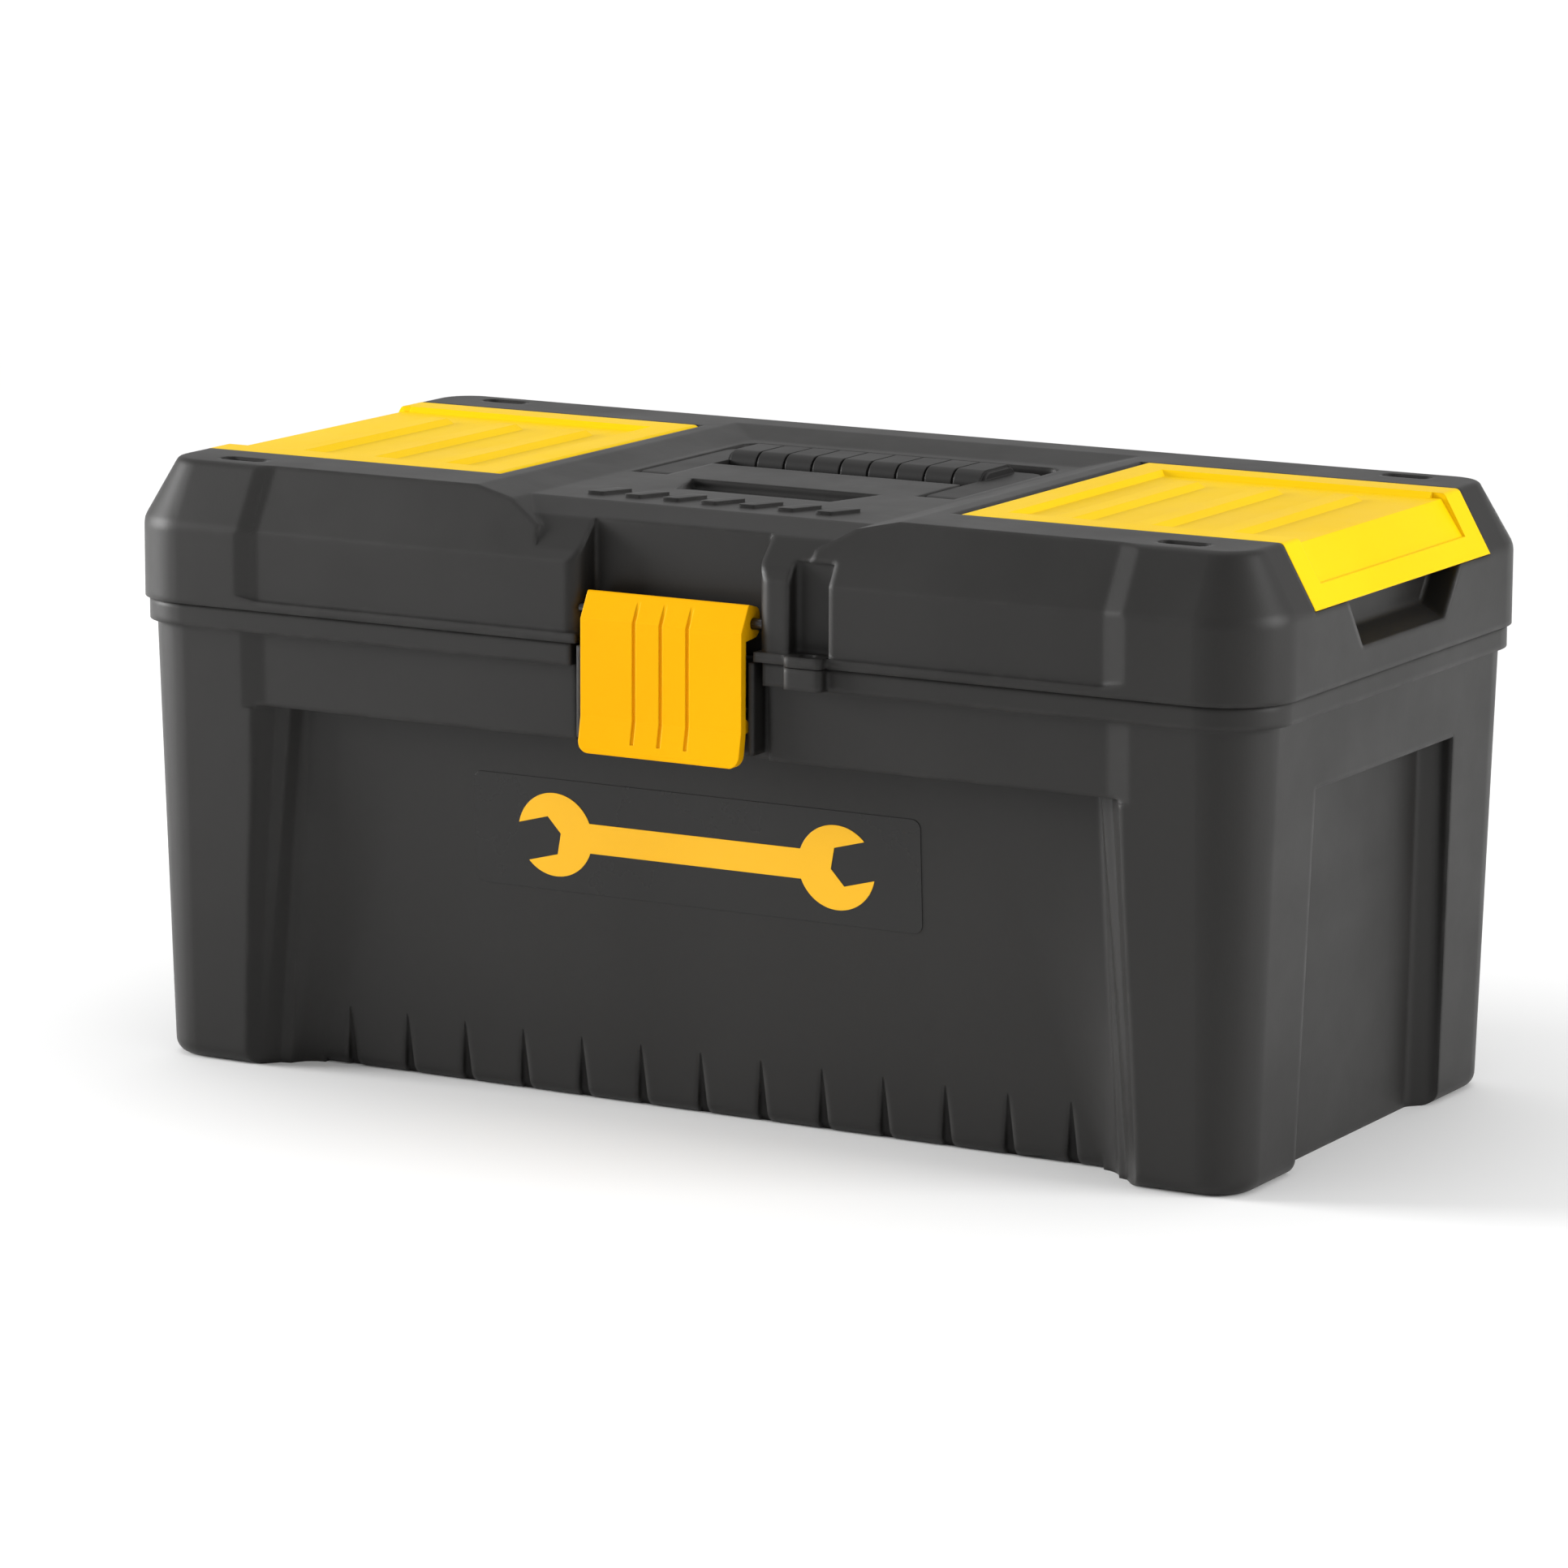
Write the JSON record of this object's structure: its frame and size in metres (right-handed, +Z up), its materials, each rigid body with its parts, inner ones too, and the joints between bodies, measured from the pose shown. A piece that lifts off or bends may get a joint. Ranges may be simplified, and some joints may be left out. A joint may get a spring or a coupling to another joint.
{
  "type": "toolbox with tray",
  "caption": "Moulded plastic toolbox with a hinged lid, front snap latch, fold-down carry handle, flip-up small-parts bin lids and a lift-out tray.",
  "frame": {"origin": "under the middle of the whole box's footprint, on the surface it stands on", "axes": "+Z up, -Y towards the latch side (front), +X to the right seen from the front"},
  "size_m": [0.406, 0.206, 0.195],
  "materials": {
    "shell_black": "satin, fine moulded grain",
    "tray_black": "satin, moulded",
    "handle_black": "matt, moulded",
    "latch_yellow": "satin, moulded",
    "flap_yellow": "satin, moulded",
    "pin_steel": "bright drawn wire",
    "label_film": "smooth printed film"
  },
  "bodies": {
    "base": {"base_shell": "shell_black", "front_label": "label_film", "lid_hinge_pin_left": "pin_steel", "lid_hinge_pin_right": "pin_steel"},
    "lid": {"lid_shell": "shell_black", "latch_pin": "pin_steel", "handle_pin_left": "pin_steel", "handle_pin_right": "pin_steel", "flap_pin_left_front": "pin_steel", "flap_pin_left_rear": "pin_steel", "flap_pin_right_front": "pin_steel", "flap_pin_right_rear": "pin_steel"},
    "tray": {"lift_out_tray": "tray_black", "tray_divider_left": "tray_black", "tray_divider_right": "tray_black"},
    "handle": {"carry_handle": "handle_black"},
    "latch": {"front_latch": "latch_yellow"},
    "flap_left": {"organiser_lid_left": "flap_yellow"},
    "flap_right": {"organiser_lid_right": "flap_yellow"}
  },
  "joints": [
    {"name": "lid_hinge", "type": "hinge", "parent": "base", "child": "lid", "pos_m": [0, 0.0997, 0.15], "axis": [-1, 0, 0], "range_deg": [0, 105]},
    {"name": "tray_lift", "type": "slide", "parent": "base", "child": "tray", "axis": [0, 0, 1], "range_m": [0, 0.01]},
    {"name": "handle_pivot", "type": "hinge", "parent": "lid", "child": "handle", "pos_m": [0, -0.014, 0.1859], "axis": [1, 0, 0], "range_deg": [0, 90]},
    {"name": "latch_pivot", "type": "hinge", "parent": "lid", "child": "latch", "pos_m": [0, -0.094, 0.161], "axis": [-1, 0, 0], "range_deg": [0, 110]},
    {"name": "flap_left_hinge", "type": "hinge", "parent": "lid", "child": "flap_left", "pos_m": [-0.0843, 0, 0.1927], "axis": [0, 1, 0], "range_deg": [0, 100]},
    {"name": "flap_right_hinge", "type": "hinge", "parent": "lid", "child": "flap_right", "pos_m": [0.0843, 0, 0.1927], "axis": [0, -1, 0], "range_deg": [0, 100]}
  ]
}
